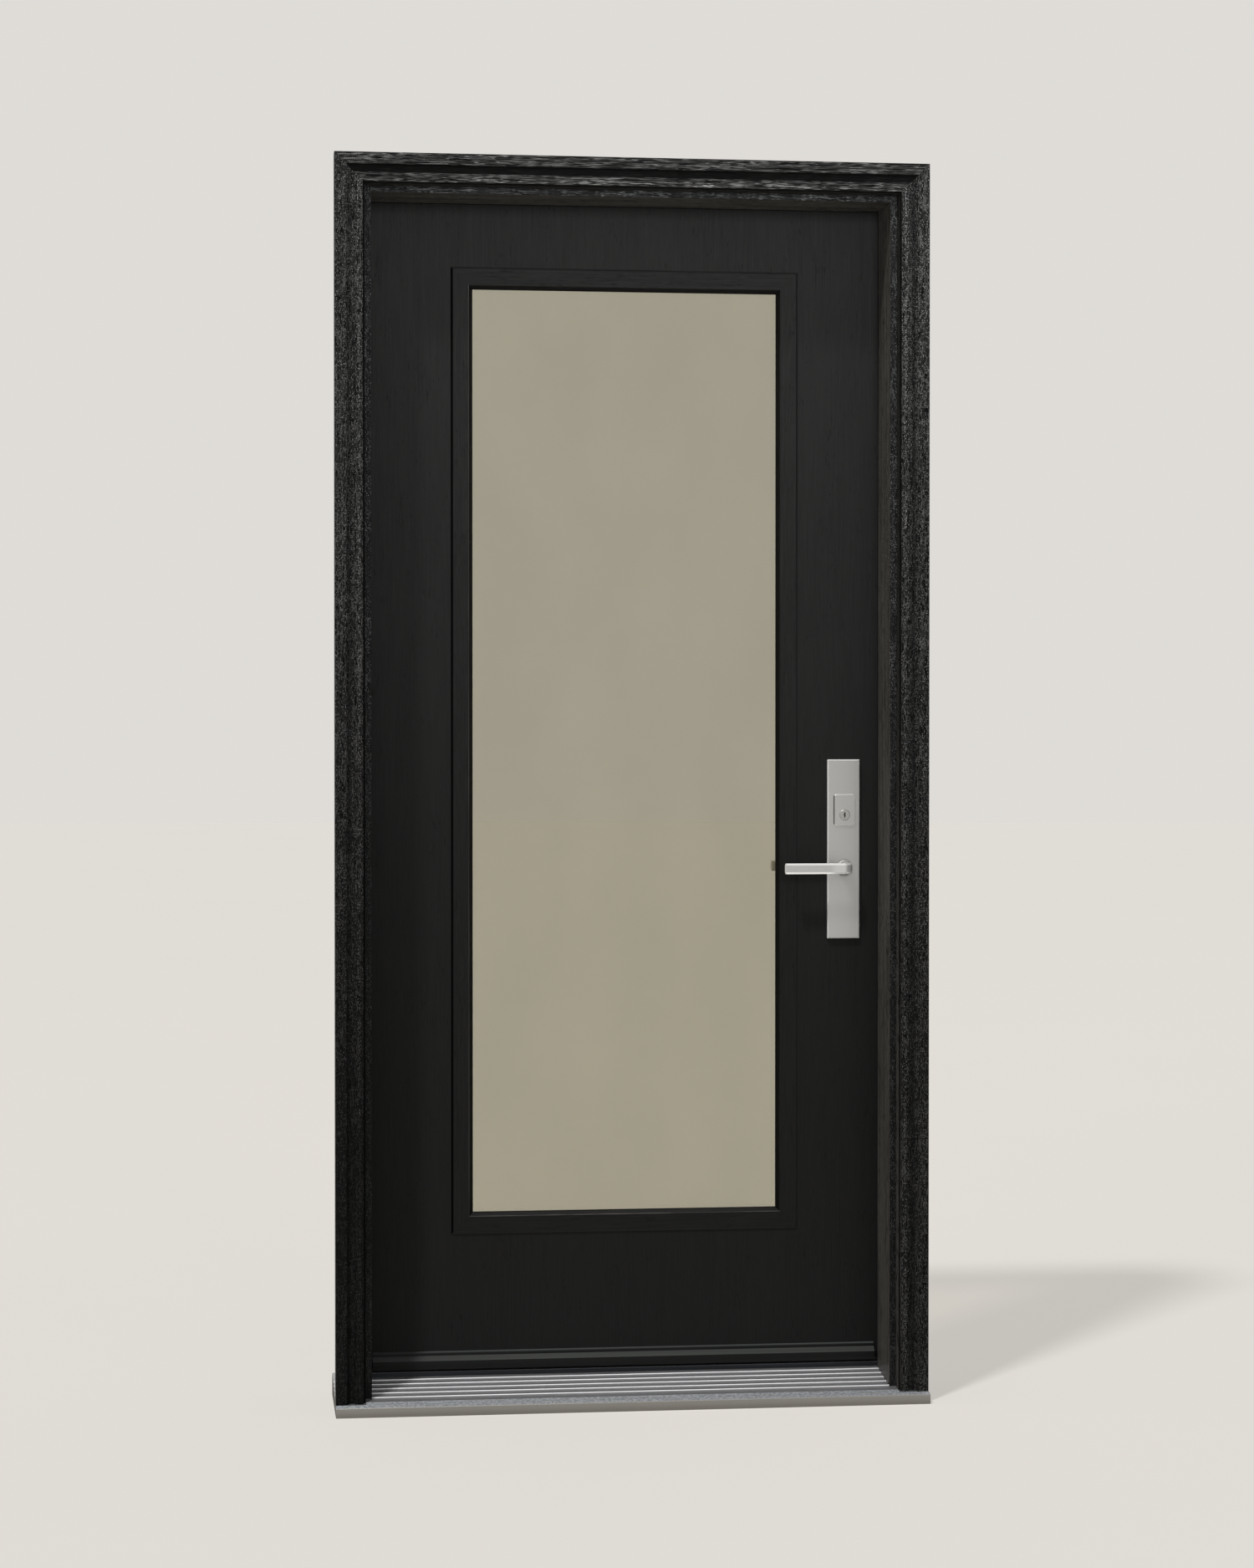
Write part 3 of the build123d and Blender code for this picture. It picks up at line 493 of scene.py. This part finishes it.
def moulded(name, colour, rough=0.42, spec=0.3, upper=None, level=None, level_rough=0.0):
    """Drawn dark section with faint lengthwise streaks; upper is a paler colour painted on its slopes as light, and
    level the tone painted on what lies flat or nearly so, as light or as shadow, which scuffing leaves level_rough
    duller."""
    t = Tree(name)
    p = t.coord()
    fine = t.noise(t.mapping(p, (900, 1600, 1600)), detail=2.0)
    streak = t.noise(t.mapping(p, (3, 260, 260)), detail=3.0)
    c = t.mix(t.ramp(streak, 0.35, 0.68), tuple(v * 0.82 for v in colour), tuple(v * 1.15 for v in colour))
    if upper is not None:
        nz = t.sep(t.n("ShaderNodeTexCoord").outputs["Normal"])[2]
        # painted light and shade by facing: slopes that face up take the upper colour, flat faces the level colour
        painted_slope_light = t.mix(t.ramp(streak, 0.35, 0.68), tuple(v * 0.88 for v in upper), tuple(v * 1.1 for v in upper))
        c = t.mix(t.ramp(nz, 0.30, 0.62), c, painted_slope_light)
        if level is not None:
            c = t.mix(t.ramp(nz, 0.80, 0.86), c, level)
    r = t.ramp(fine, 0.3, 0.7, rough - 0.04, rough + 0.06)
    if level_rough > 0.0:
        r = t.math("ADD", r, t.math("MULTIPLY", t.ramp(nz, 0.80, 0.86), level_rough), clamp=True)
    t.principled(Base_Color=c, Roughness=r, Specular_IOR_Level=spec, Normal=t.bump(fine, 0.00003, 0.5))
    return t.mat


def mill_aluminium(name):
    """Extruded sill metal: drawn lines along the tread, a painted highlight along the crests of the ribs, a scored
    nose, a duller front with painted shade on its lip.
    """
    t = Tree(name)
    p = t.coord()
    x, y, z = t.sep(p)
    nx, ny, nz = t.sep(t.n("ShaderNodeTexCoord").outputs["Normal"])
    drawn = t.noise(t.mapping(p, (6, 1500, 1500)), detail=4.0, rough=0.65)
    cloud = t.noise(t.mapping(p, (9, 30, 30)), detail=4.0, rough=0.6)
    c = t.mix(t.ramp(drawn, 0.3, 0.7), (0.305, 0.305, 0.321), (0.382, 0.382, 0.400))
    c = t.mix(t.ramp(cloud, 0.35, 0.7, 0.0, 0.45), c, (0.288, 0.288, 0.302))
    # ribs at 22.6 mm spacing, the first one's middle 2 mm behind the jambs' front edge
    phase = t.math("FRACT", t.math("DIVIDE", t.math("SUBTRACT", y, 0.0020 - 0.0113), 0.0226))
    off = t.math("MULTIPLY", t.math("ABSOLUTE", t.math("SUBTRACT", phase, 0.5)), 0.0226)
    tread = t.math("MULTIPLY", t.ramp(y, -0.0009, -0.0003), t.ramp(y, 0.0955, 0.0965, 1.0, 0.0))
    rib_highlight = t.math("MULTIPLY", t.ramp(off, 0.0011, 0.0017, 1.0, 0.0), tread)
    # painted highlight: the crests of the ribs pale and barely metallic
    c = t.mix(rib_highlight, c, (0.92, 0.94, 0.96))
    # nose: fine ridges broken into dashes
    nose = t.ramp(y, -0.0185, -0.0175, 1.0, 0.0)
    dash_n = t.noise(t.mapping(p, (210, 150, 1)), detail=1.5, rough=0.5)
    dash = t.ramp(dash_n, 0.44, 0.56)
    c = t.mix(nose, c, t.mix(dash, (0.165, 0.174, 0.186), (0.250, 0.262, 0.278)))
    # front face: dull, with a darker foot, and painted shade darkening the lip
    front = t.math("MULTIPLY", t.math("LESS_THAN", ny, -0.35), t.ramp(y, -0.0460, -0.0465))
    c = t.mix(front, c, t.mix(t.ramp(z, 0.0, 0.014), (0.185, 0.175, 0.162), (0.262, 0.253, 0.238)))
    c = t.mix(t.math("MULTIPLY", front, t.ramp(nz, 0.25, 0.35)), c, (0.165, 0.163, 0.158))
    r = t.math("ADD", t.ramp(drawn, 0.3, 0.7, 0.36, 0.46), t.ramp(cloud, 0.3, 0.7, -0.03, 0.05))
    r = t.math("SUBTRACT", r, t.math("MULTIPLY", rib_highlight, 0.12))
    height = t.math("ADD", t.math("MULTIPLY", drawn, 0.1), t.math("MULTIPLY", t.math("MULTIPLY", dash, nose), 0.35))
    t.principled(Base_Color=c, Metallic=t.ramp(rib_highlight, 0.0, 1.0, 0.8, 0.15), Roughness=r,
                 Normal=t.bump(height, 0.0003, 0.8))
    return t.mat


def composite_board(name):
    t = Tree(name)
    p = t.coord()
    chip = t.noise(t.mapping(p, (160, 420, 420)), detail=4.0, rough=0.7)
    c = t.mix(t.ramp(chip, 0.3, 0.7), (0.045, 0.042, 0.036), (0.12, 0.11, 0.095))
    t.principled(Base_Color=c, Roughness=0.8, Specular_IOR_Level=0.2, Normal=t.bump(chip, 0.0003, 0.6))
    return t.mat


def glazing(name, tint, haze=(0.5, 0.5, 0.48)):
    """Clear sheet with a faint warm tint: light goes straight through, and the surface mirrors more at a slant."""
    t = Tree(name)
    lw = t.n("ShaderNodeLayerWeight")
    lw.inputs["Blend"].default_value = 0.5
    facing = lw.outputs["Facing"]
    schlick = t.math("ADD", 0.014, t.math("MULTIPLY", 0.9, t.math("POWER", facing, 5.0)), clamp=True)
    p = t.coord()
    smear = t.noise(t.mapping(p, (7, 7, 3.5)), detail=3.0, rough=0.5)
    clear = t.n("ShaderNodeBsdfTransparent")
    c = t.mix(t.ramp(smear, 0.3, 0.7), tint, tuple(min(1.0, v * 1.012) for v in tint))
    t.link(c, clear.inputs["Color"])
    gloss = t.n("ShaderNodeBsdfGlossy")
    gloss.inputs["Color"].default_value = (1, 1, 1, 1)
    t.link(t.ramp(smear, 0.3, 0.7, 0.018, 0.024), gloss.inputs["Roughness"])
    mixer = t.n("ShaderNodeMixShader")
    t.link(schlick, mixer.inputs[0])
    t.link(clear.outputs[0], mixer.inputs[1])
    t.link(gloss.outputs[0], mixer.inputs[2])
    t.link(mixer.outputs[0], t.out.inputs["Surface"])
    return t.mat


# ---------------------------------------------------------------- materials on the CAD nodes
jamb_v = jamb_wood("jamb_grain_upright", "Z", 1.7)
jamb_h = jamb_wood("jamb_grain_across", "X", 2.9)
case_l = black_wood("casing_grain_left", "Z", 0.4, fleck=(0.088, 0.088, 0.086), **casing_masks("left"))
case_r = black_wood("casing_grain_right", "Z", 0.9, fleck=(0.088, 0.088, 0.086), **casing_masks("right"))
case_h = black_wood("casing_grain_head", "X", 7.3, dark=(0.0020, 0.0020, 0.0020), fleck=(0.072, 0.072, 0.070), lines=1.0,
                    **casing_masks("head"))
skin = satin_skin("leaf_skin", dark=(0.0070, 0.0070, 0.0070), light=(0.0094, 0.0094, 0.0093), spec=0.10, rough=0.45)
edge_wood = black_wood("leaf_edge", "Z", 4.4, fleck=(0.018, 0.018, 0.0175), mid=(0.008, 0.008, 0.0078), relief=0.0001)
edge_wood_h = black_wood("leaf_edge_across", "X", 4.9, fleck=(0.018, 0.018, 0.0175), mid=(0.008, 0.008, 0.0078),
                         lines=0.8, relief=0.0001)
# the bevel colours below are painted highlights on the chamfers
nickel = satin_metal("satin_nickel", (0.52, 0.522, 0.52), "Z", rough=0.42, variation=0.018, bevel=(0.62, 0.62, 0.605))
nickel_x = satin_metal("satin_nickel_lever", (0.445, 0.445, 0.441), "X", rough=0.38, metallic=0.6,
                       bevel=(0.54, 0.54, 0.53), tip=0.2752)
nickel_in = satin_metal("satin_nickel_inner_lever", (0.445, 0.445, 0.441), "X", rough=0.38, metallic=0.6,
                        bevel=(0.54, 0.54, 0.53), tip=0.2752, matt_back_painted_light=(0.90, 0.90, 0.88))
nickel_box = satin_metal("satin_nickel_housing", (0.53, 0.532, 0.53), "Z", rough=0.42, bevel=(0.86, 0.86, 0.84),
                         painted_shade_sides=True)
steel = satin_metal("hinge_steel", (0.44, 0.435, 0.42), "Z", rough=0.36)
screw_steel = satin_metal("screw_steel", (0.52, 0.515, 0.50), "Z", rough=0.28, lines=0.4)
cylinder = satin_metal("cylinder_metal", (0.46, 0.46, 0.45), "Z", rough=0.34, lines=0.5)
spacer = rubber("spacer_black", (0.004, 0.004, 0.004))
deck = mill_aluminium("sill_metal")
rub = rubber("seal_rubber")
# threshold cap: a painted highlight on its chamfer and its flat top painted black as the shadow under the drip
cap = moulded("threshold_dark", (0.042, 0.048, 0.057), rough=0.4, spec=0.12, upper=(0.26, 0.27, 0.30),
              level=(0.003, 0.0032, 0.0032), level_rough=0.55)
# drip rail: its slopes and its flat top painted paler as light falling on them
drip = moulded("drip_dark", (0.0068, 0.0080, 0.0072), rough=0.40, spec=0.12, upper=(0.034, 0.037, 0.035),
               level=(0.048, 0.053, 0.052))
board = composite_board("sill_core")
pane = glazing("glazing", (0.822, 0.8126, 0.7693))
gasket = rubber("gasket_black", (0.0018, 0.0018, 0.0018))

LOOK = {
    "jamb_hinge_side": jamb_v, "jamb_latch_side": jamb_v, "head_jamb": jamb_h,
    "brickmould_left": case_l, "brickmould_right": case_r, "brickmould_head": case_h,
    "sill_substrate": board, "sill_deck": deck, "threshold_cap": cap,
    "weatherstrip_left": rub, "weatherstrip_right": rub, "weatherstrip_head": rub,
    "strike_plates": steel, "lock_faceplate": steel, "lock_bolts": steel, "spindle": steel,
    "stile_hinge": edge_wood, "stile_lock": edge_wood, "rail_top": edge_wood_h, "rail_bottom": edge_wood_h,
    "skin_outer": skin, "skin_inner": skin,
    "lite_frame_outer": lite_skin("light_frame_outer", "lite_frame_outer"),
    "lite_frame_inner": lite_skin("light_frame_inner", "lite_frame_inner", turn=0.0285),
    "glass_outer": pane, "glass_inner": pane, "glass_spacer": spacer,
    "drip_rail": drip, "bottom_sweep": rub,
    "escutcheon_outer": nickel, "escutcheon_inner": nickel, "cylinder_housing": nickel_box,
    "key_cylinder": cylinder, "thumbturn": nickel,
    "lever_outer": nickel_x, "lever_inner": nickel_in,
}
for which in ("top", "middle", "bottom"):
    LOOK[f"hinge_{which}_frame_leaf"] = steel
    LOOK[f"hinge_{which}_door_leaf"] = steel
for node, obj in NODES.items():
    mat = LOOK[node]
    if not obj.material_slots:
        obj.data.materials.append(mat)
    for s in obj.material_slots:
        s.material = mat


# ---------------------------------------------------------------- fixings and small parts
def finish_piece(name, bm, mat, body, smooth_angle=35.0):
    """Closed mesh to object, shaded smooth except across sharp edges, riding on its body."""
    bmesh.ops.recalc_face_normals(bm, faces=bm.faces)
    limit = math.radians(smooth_angle)
    for e in bm.edges:
        e.smooth = len(e.link_faces) == 2 and e.calc_face_angle(0.0) < limit
    for f in bm.faces:
        f.smooth = True
    me = bpy.data.meshes.new(name)
    bm.to_mesh(me)
    bm.free()
    me.materials.append(mat)
    ob = bpy.data.objects.new(name, me)
    scene.collection.objects.link(ob)
    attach(ob, body)
    return ob


def place_verts(bm, verts, point, normal, spin=0.0):
    turn = Vector(normal).to_track_quat("Z", "Y").to_matrix().to_4x4()
    m = Matrix.Translation(Vector(point)) @ turn @ Matrix.Rotation(spin, 4, "Z")
    bmesh.ops.transform(bm, matrix=m, verts=verts)


def turned(bm, profile, segments=32):
    """Solid of revolution about Z through (radius, height) points, from the middle of the top to that of the foot."""
    rings = []
    for r, h in profile:
        if r < 1e-9:
            rings.append([bm.verts.new((0, 0, h))])
        else:
            rings.append([bm.verts.new((r * math.cos(2 * math.pi * i / segments), r * math.sin(2 * math.pi * i / segments), h))
                          for i in range(segments)])
    for a, b in zip(rings, rings[1:]):
        for i in range(segments):
            j = (i + 1) % segments
            if len(a) == 1:
                bm.faces.new((a[0], b[i], b[j]))
            elif len(b) == 1:
                bm.faces.new((a[i], b[0], a[j]))
            else:
                bm.faces.new((a[i], b[i], b[j], a[j]))
    return rings


def screw_head(bm, point, normal, radius, spin):
    """Countersunk head with a cross recess, its rim level with the plate and its middle barely crowned."""
    prof = [(0, 0.00030), (radius * 0.16, 0.00030), (radius * 0.34, 0.00028), (radius * 0.56, 0.00024),
            (radius * 0.80, 0.00016), (radius * 0.94, 0.00006), (radius, -0.00012), (radius * 0.8, -0.0016), (0, -0.0016)]
    rings = turned(bm, prof)
    for k, ring in enumerate(rings[:5]):
        for i, v in enumerate(ring):
            if k == 0 or (k <= 3 and (k == 1 or i % 8 == 0)):
                v.co.z -= (0.0016, 0.0014, 0.0011, 0.0006)[k]
    place_verts(bm, [v for ring in rings for v in ring], point, normal, spin)


def screw_set(name, places, normal, radius, body, mat=None):
    bm = bmesh.new()
    for i, point in enumerate(places):
        screw_head(bm, point, normal, radius, 0.55 + 1.13 * i)
    return finish_piece(name, bm, mat or screw_steel, body)


hinge_y = (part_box("hinge_top_frame_leaf")[0].y + 0.011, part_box("hinge_top_frame_leaf")[0].y + 0.024)
for which in ("top", "middle", "bottom"):
    f_lo, f_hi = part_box(f"hinge_{which}_frame_leaf")
    mid = (f_lo.z + f_hi.z) / 2
    rows = [(mid + dz, hinge_y[i % 2]) for i, dz in enumerate((0.038, 0.0135, -0.0135, -0.038))]
    screw_set(f"hinge_{which}_frame_screws", [(-0.4590, y, z) for z, y in rows], (1, 0, 0), 0.0041, "frame")
    screw_set(f"hinge_{which}_door_screws", [(-0.4540, y, z) for z, y in rows], (-1, 0, 0), 0.0041, "door")
    # domed ends of the pin
    bm = bmesh.new()
    for z, up in ((f_hi.z, 1), (f_lo.z, -1)):
        rings = turned(bm, [(0, 0.0016), (0.0016, 0.00150), (0.0031, 0.00112), (0.0042, 0.00052), (0.0047, 0.0),
                            (0.0047, -0.0005), (0, -0.0005)])
        place_verts(bm, [v for ring in rings for v in ring], (-0.4565, 0.1653, z), (0, 0, up))
    finish_piece(f"hinge_{which}_pin_domes", bm, steel, "frame")

# lock edge: the faceplate leans with the bevelled edge of the leaf
lean = math.atan2(0.0023, 0.0445)
fp_y = 0.1365
fp_x = 0.4540 - 0.0023 * (0.1588 - fp_y) / 0.0445
screw_set("faceplate_screws", [(fp_x, fp_y, z) for z in (0.376, 0.640, 0.955, 1.205, 1.480, 1.684)],
          (math.cos(lean), -math.sin(lean), 0), 0.0038, "door")

# strike plates on the latch jamb, one screw above and one below each opening
strikes = ((0.9144, 0.025), (1.0069, 0.018), (1.560, 0.025), (0.420, 0.025))
screw_set("strike_screws", [(0.4590, 0.1365, z + s * d) for z, d in strikes for s in (-1, 1)],
          (-1, 0, 0), 0.0036, "frame")

# lock plates are held through the leaf by screws that show inside only
plate_face_y = 0.1588 + 0.0090
screw_set("inner_plate_screws", [(0.3845, plate_face_y, z) for z in (0.8035, 1.0905)], (0, 1, 0), 0.0037, "door")

# plugs over the screws that draw the two light frames together
lf_lo, lf_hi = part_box("lite_frame_inner")
bm = bmesh.new()
places = []
for k in range(8):
    z = lf_lo.z + 0.060 + k * (lf_hi.z - lf_lo.z - 0.120) / 7
    places += [(lf_lo.x + 0.0145, z), (lf_hi.x - 0.0145, z)]
for k in range(3):
    x = lf_lo.x + 0.110 + k * (lf_hi.x - lf_lo.x - 0.220) / 2
    places += [(x, lf_lo.z + 0.0145), (x, lf_hi.z - 0.0145)]
for x, z in places:
    rings = turned(bm, [(0, 0.00034), (0.0022, 0.00030), (0.0036, 0.00018), (0.0043, -0.00002), (0.0045, -0.00050),
                        (0.0045, -0.0012), (0, -0.0012)], 24)
    place_verts(bm, [v for ring in rings for v in ring], (x, lf_hi.y, z), (0, 1, 0))
plug_mat = moulded("screw_plug", (0.0085, 0.0085, 0.0084), rough=0.5, spec=0.12)
finish_piece("inner_frame_plugs", bm, plug_mat, "door")


def glazing_gasket(name, y, outward, half_x, z0, z1):
    """Soft bead pressed between frame and glass all round: a quarter-round section, mitred at its corners."""
    w, h = 0.0007, 0.0014
    section = [(0.0, 0.0), (w, 0.0), (w * 0.94, h * 0.38), (w * 0.72, h * 0.72), (w * 0.38, h * 0.94), (0.0, h)]
    bm = bmesh.new()
    loops = []
    for sx, sz in ((-1, -1), (1, -1), (1, 1), (-1, 1)):
        loop = []
        for u, v in section:
            x = sx * (half_x - u)
            z = (z0 + u) if sz < 0 else (z1 - u)
            loop.append(bm.verts.new((x, y + outward * v, z)))
        loops.append(loop)
    n = len(section)
    for a in range(4):
        p, q = loops[a], loops[(a + 1) % 4]
        for i in range(n):
            j = (i + 1) % n
            bm.faces.new((p[i], p[j], q[j], q[i]))
    return finish_piece(name, bm, gasket, "door", 60.0)


for name, y, outward, lip in (("outer", 0.1193, -1, 0.0371), ("inner", 0.1193 + 0.0254, 1, 0.0320)):
    glazing_gasket(f"glazing_gasket_{name}", y, outward, 0.3033 - lip, 0.2822 + lip, 1.9540 - lip)


# ---------------------------------------------------------------- stage and light
def stage_mesh(name, bm, mat):
    me = bpy.data.meshes.new(name)
    bm.to_mesh(me)
    bm.free()
    me.materials.append(mat)
    for p in me.polygons:
        p.use_smooth = True
    ob = bpy.data.objects.new(name, me)
    scene.collection.objects.link(ob)
    return ob


# the studio surround: a pale dome, brighter overhead, seen by the camera and mirrored in the metal
t = Tree("studio_dome")
x, y, z = t.sep(t.coord())
up = t.ramp(z, 12.0, 34.0)
glow = t.n("ShaderNodeEmission")
t.link(t.mix(up, (0.737, 0.716, 0.686), (1.6, 1.58, 1.55)), glow.inputs["Color"])
glow.inputs["Strength"].default_value = 1.0
t.link(glow.outputs[0], t.out.inputs["Surface"])
bm = bmesh.new()
bmesh.ops.create_uvsphere(bm, u_segments=96, v_segments=48, radius=40.0)
dome = stage_mesh("studio_dome", bm, t.mat)
dome.visible_diffuse = False
dome.visible_shadow = False

# the pale floor, partly self-lit so that its shadows stay light
t = Tree("studio_floor")
soft = t.noise(t.mapping(t.coord(), (0.5, 0.5, 0.5)), detail=2.0)
lit = t.n("ShaderNodeBsdfDiffuse")
t.link(t.mix(t.ramp(soft, 0.3, 0.7), (0.275, 0.268, 0.255), (0.280, 0.273, 0.260)), lit.inputs["Color"])
own = t.n("ShaderNodeEmission")
own.inputs["Color"].default_value = (0.490, 0.470, 0.440, 1)
own.inputs["Strength"].default_value = 1.0
both = t.n("ShaderNodeAddShader")
t.link(lit.outputs[0], both.inputs[0])
t.link(own.outputs[0], both.inputs[1])
t.link(both.outputs[0], t.out.inputs["Surface"])
bm = bmesh.new()
bmesh.ops.create_circle(bm, cap_ends=True, segments=96, radius=39.9)
floor = stage_mesh("studio_floor", bm, t.mat)

world = bpy.data.worlds.new("studio")
world.use_nodes = True
scene.world = world
bg = world.node_tree.nodes.get("Background") or world.node_tree.nodes.new("ShaderNodeBackground")
bg.inputs["Color"].default_value = (1.0, 0.99, 0.975, 1.0)
bg.inputs["Strength"].default_value = 0.30


def lamp(name, kind, loc, direction, energy, colour=(1, 1, 1), **props):
    data = bpy.data.lights.new(name, kind)
    data.energy = energy
    data.color = colour
    for k, v in props.items():
        setattr(data, k, v)
    ob = bpy.data.objects.new(name, data)
    ob.location = loc
    ob.rotation_euler = Vector(direction).to_track_quat("-Z", "Y").to_euler()
    scene.collection.objects.link(ob)
    return ob


lamp("key", "SUN", (-2.4, -3.2, 5.7), (0.345, 0.458, -0.819), 2.4, (1.0, 0.99, 0.975), angle=math.radians(5.5))
# a gridded softbox in front of the door's head: bright on the upper half, fading out towards the sill
fill = lamp("fill", "AREA", (0.35, -3.5, 2.30), (-0.06, 1.0, 0.03), 27.0, (1.0, 1.0, 1.0),
            shape="SQUARE", size=0.9, spread=math.radians(54))
fill.visible_camera = False
fill.visible_glossy = False
